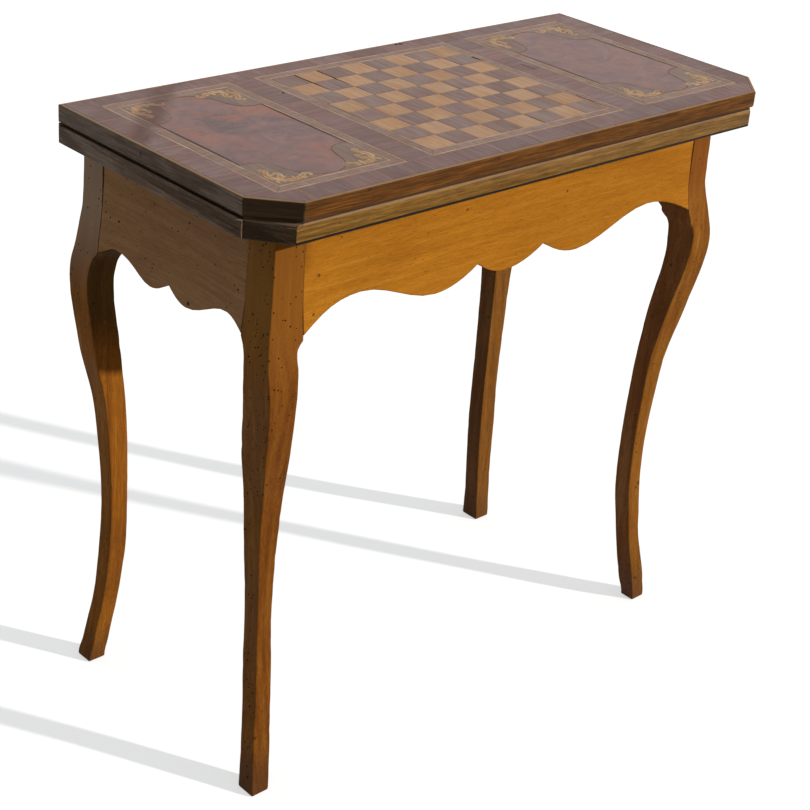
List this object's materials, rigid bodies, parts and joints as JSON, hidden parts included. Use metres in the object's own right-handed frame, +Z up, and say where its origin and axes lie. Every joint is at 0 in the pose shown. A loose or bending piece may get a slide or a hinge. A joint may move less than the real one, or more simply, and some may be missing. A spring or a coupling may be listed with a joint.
{
  "type": "folding games table",
  "caption": "Small folding games table: a chessboard leaf that turns over on the back edge, scalloped aprons, sawn cabriole legs and a swinging gate leg.",
  "frame": {"origin": "on the floor, in the middle of the closed table's bounding box", "axes": "+X along the leaves, front of the table towards -Y, +Z up; +Y is the short way, towards the hinged edge and the gate leg"},
  "size_m": [0.784, 0.4002, 0.75],
  "materials": {
    "edge_walnut": "worn waxed walnut edging and leaf boards",
    "apron_walnut": "waxed walnut, faded golden brown",
    "leg_walnut": "waxed walnut with worn edges and worm holes",
    "inner_pine": "raw pine of the hidden framing",
    "crossband": "dark polished crossbanding veneer",
    "light_string": "light boxwood stringing",
    "tone_band": "mid brown veneer band",
    "burr": "figured walnut panel veneer with inlaid corners",
    "chess": "chequered veneer of light and dark squares",
    "baize": "green woollen baize",
    "brass": "aged brass",
    "iron": "dark iron"
  },
  "bodies": {
    "table": {"back_left_block": "inner_pine", "back_left_screw": "iron", "back_rail": "inner_pine", "back_right_block": "inner_pine", "back_right_leg": "leg_walnut", "back_right_screw": "iron", "fixed_fly_rail": "inner_pine", "front_apron": "apron_walnut", "front_left_block": "inner_pine", "front_left_leg": "leg_walnut", "front_left_screw": "iron", "front_right_block": "inner_pine", "front_right_leg": "leg_walnut", "front_right_screw": "iron", "hinge_left_lower": "brass", "hinge_left_pin": "brass", "hinge_middle_lower": "brass", "hinge_middle_pin": "brass", "hinge_right_lower": "brass", "hinge_right_pin": "brass", "knuckle_pin": "iron", "left_apron": "apron_walnut", "lower_leaf_baize": "baize", "lower_leaf_core": "edge_walnut", "lower_leaf_lipping_back": "edge_walnut", "lower_leaf_lipping_front": "edge_walnut", "lower_leaf_lipping_left": "edge_walnut", "lower_leaf_lipping_left_corner": "edge_walnut", "lower_leaf_lipping_right": "edge_walnut", "lower_leaf_lipping_right_corner": "edge_walnut", "right_apron": "apron_walnut"},
    "top_leaf": {"chessboard_band": "tone_band", "chessboard_field": "chess", "chessboard_inner_string": "light_string", "chessboard_outer_string": "light_string", "crossbanding": "crossband", "hinge_left_upper": "brass", "hinge_middle_upper": "brass", "hinge_right_upper": "brass", "left_panel_band": "tone_band", "left_panel_field": "burr", "left_panel_inner_string": "light_string", "left_panel_outer_string": "light_string", "right_panel_band": "tone_band", "right_panel_field": "burr", "right_panel_inner_string": "light_string", "right_panel_outer_string": "light_string", "upper_leaf_baize": "baize", "upper_leaf_core": "edge_walnut", "upper_leaf_lipping_back": "edge_walnut", "upper_leaf_lipping_front": "edge_walnut", "upper_leaf_lipping_left": "edge_walnut", "upper_leaf_lipping_left_corner": "edge_walnut", "upper_leaf_lipping_right": "edge_walnut", "upper_leaf_lipping_right_corner": "edge_walnut"},
    "gate": {"fly_rail": "leg_walnut", "back_left_leg": "leg_walnut"}
  },
  "joints": [
    {"name": "leaf_fold", "type": "hinge", "parent": "table", "child": "top_leaf", "pos_m": [0, 0.1634, 0.7297], "axis": [-1, 0, 0], "range_deg": [0, 180]},
    {"name": "gate_swing", "type": "hinge", "parent": "table", "child": "gate", "pos_m": [-0.02, 0.1616, 0.6566], "axis": [0, 0, -1], "range_deg": [0, 90]}
  ]
}
